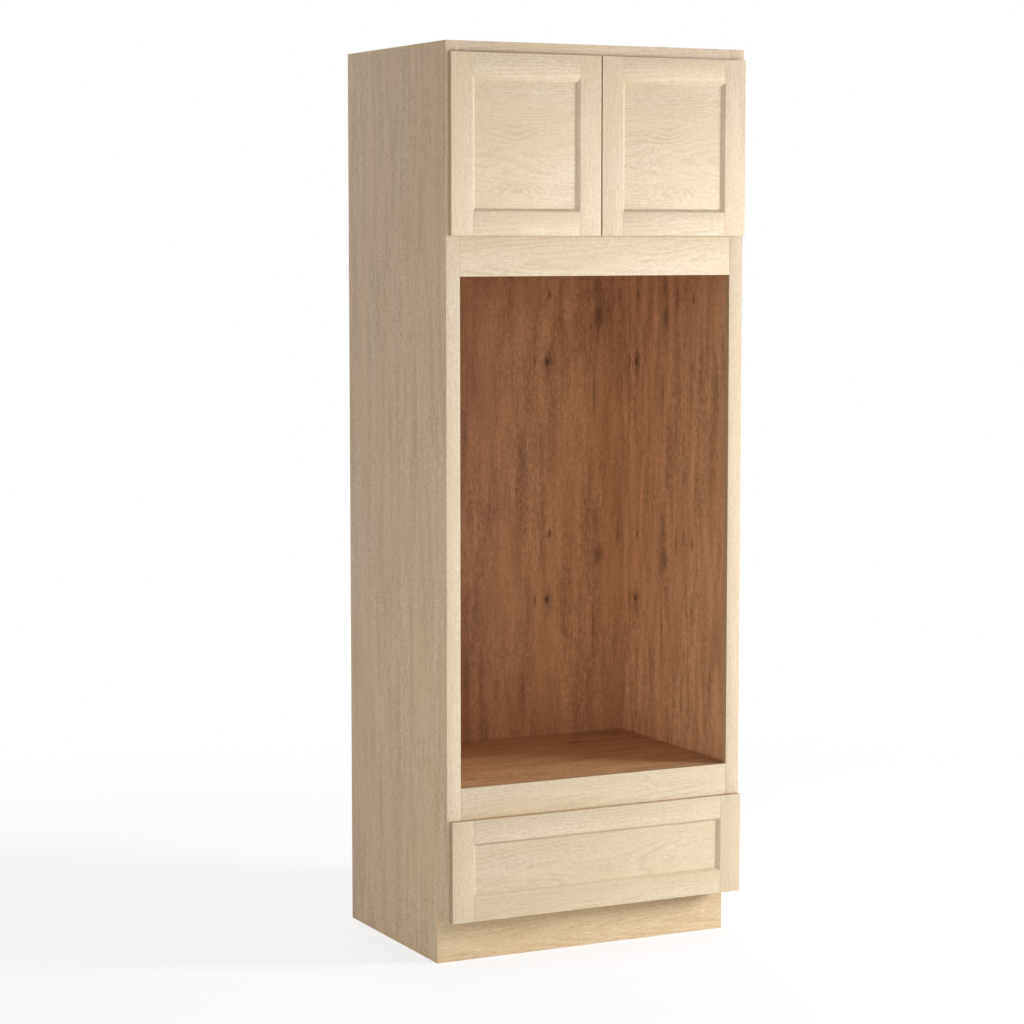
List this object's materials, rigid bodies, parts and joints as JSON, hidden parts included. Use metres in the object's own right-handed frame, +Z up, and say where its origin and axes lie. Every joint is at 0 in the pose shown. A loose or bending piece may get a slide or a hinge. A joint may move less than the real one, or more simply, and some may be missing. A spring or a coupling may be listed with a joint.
{
  "type": "tall oven housing unit",
  "caption": "Floor-standing kitchen cabinet with an open bay for built-in ovens, doors over the bay and a drawer under it.",
  "frame": {"origin": "centre of the footprint's bounding box, on the floor", "axes": "+Z up, -Y towards the person who opens it, +X to that person's right"},
  "size_m": [0.8382, 0.6164, 2.286],
  "materials": {
    "light_oak": "unfinished, sanded, straight grain",
    "oak_end_panel": "unfinished veneered panel, upright grain",
    "walnut_board": "brown wood-grain board with small dark knots, satin",
    "birch": "clear, satin",
    "zinc_steel": "zinc plated, rolled",
    "nickel_steel": "nickel plated, pressed"
  },
  "bodies": {
    "carcass": {"frame_left_stile": "light_oak", "frame_right_stile": "light_oak", "frame_bottom_rail": "light_oak", "frame_sill_rail": "light_oak", "frame_head_rail": "light_oak", "frame_top_rail": "light_oak", "toe_board": "light_oak", "left_end_panel": "oak_end_panel", "left_side_panel": "walnut_board", "right_side_panel": "walnut_board", "back_panel": "walnut_board", "top_panel": "walnut_board", "cupboard_floor": "walnut_board", "oven_floor": "walnut_board", "drawer_bay_floor": "walnut_board", "toe_backer": "birch", "left_oven_cleat": "birch", "right_oven_cleat": "birch", "left_slide_spacer": "birch", "right_slide_spacer": "birch", "left_slide_cabinet_member": "zinc_steel", "right_slide_cabinet_member": "zinc_steel", "left_door_lower_hinge_arm": "nickel_steel", "left_door_upper_hinge_arm": "nickel_steel", "right_door_lower_hinge_arm": "nickel_steel", "right_door_upper_hinge_arm": "nickel_steel"},
    "left_door_links": {"left_door_lower_hinge_link": "nickel_steel", "left_door_upper_hinge_link": "nickel_steel"},
    "left_door": {"left_door_hinge_stile": "light_oak", "left_door_meeting_stile": "light_oak", "left_door_bottom_rail": "light_oak", "left_door_top_rail": "light_oak", "left_door_panel": "light_oak", "left_door_lower_hinge_cup": "nickel_steel", "left_door_upper_hinge_cup": "nickel_steel"},
    "right_door_links": {"right_door_lower_hinge_link": "nickel_steel", "right_door_upper_hinge_link": "nickel_steel"},
    "right_door": {"right_door_hinge_stile": "light_oak", "right_door_meeting_stile": "light_oak", "right_door_bottom_rail": "light_oak", "right_door_top_rail": "light_oak", "right_door_panel": "light_oak", "right_door_lower_hinge_cup": "nickel_steel", "right_door_upper_hinge_cup": "nickel_steel"},
    "slide_middles": {"left_slide_middle_member": "zinc_steel", "right_slide_middle_member": "zinc_steel"},
    "drawer": {"drawer_front_left_stile": "light_oak", "drawer_front_right_stile": "light_oak", "drawer_front_bottom_rail": "light_oak", "drawer_front_top_rail": "light_oak", "drawer_front_panel": "light_oak", "drawer_box_left_side": "birch", "drawer_box_right_side": "birch", "drawer_box_front": "birch", "drawer_box_back": "birch", "drawer_box_bottom": "birch", "left_slide_drawer_member": "zinc_steel", "right_slide_drawer_member": "zinc_steel"}
  },
  "joints": [
    {"name": "left_door_link_swing", "type": "hinge", "parent": "carcass", "child": "left_door_links", "pos_m": [-0.37935, -0.2957, 2], "axis": [0, 0, -1], "range_deg": [-42.76, 0]},
    {"name": "left_door_swing", "type": "hinge", "parent": "left_door_links", "child": "left_door", "pos_m": [-0.40135, -0.2927, 2], "axis": [0, 0, -1], "range_deg": [0, 137.75]},
    {"name": "right_door_link_swing", "type": "hinge", "parent": "carcass", "child": "right_door_links", "pos_m": [0.37935, -0.2957, 2], "axis": [0, 0, 1], "range_deg": [-42.76, 0]},
    {"name": "right_door_swing", "type": "hinge", "parent": "right_door_links", "child": "right_door", "pos_m": [0.40135, -0.2927, 2], "axis": [0, 0, 1], "range_deg": [0, 137.75]},
    {"name": "drawer_slide", "type": "slide", "parent": "carcass", "child": "drawer", "axis": [0, -1, 0], "range_m": [0, 0.4826]},
    {"name": "slide_middle_travel", "type": "slide", "parent": "carcass", "child": "slide_middles", "axis": [0, -1, 0], "range_m": [0, 0.2413]}
  ],
  "couplings": [
    {"joint": "left_door_link_swing", "follows": "left_door_swing", "ratio": -0.31034},
    {"joint": "right_door_link_swing", "follows": "right_door_swing", "ratio": -0.31034},
    {"joint": "slide_middle_travel", "follows": "drawer_slide", "ratio": 0.5}
  ]
}
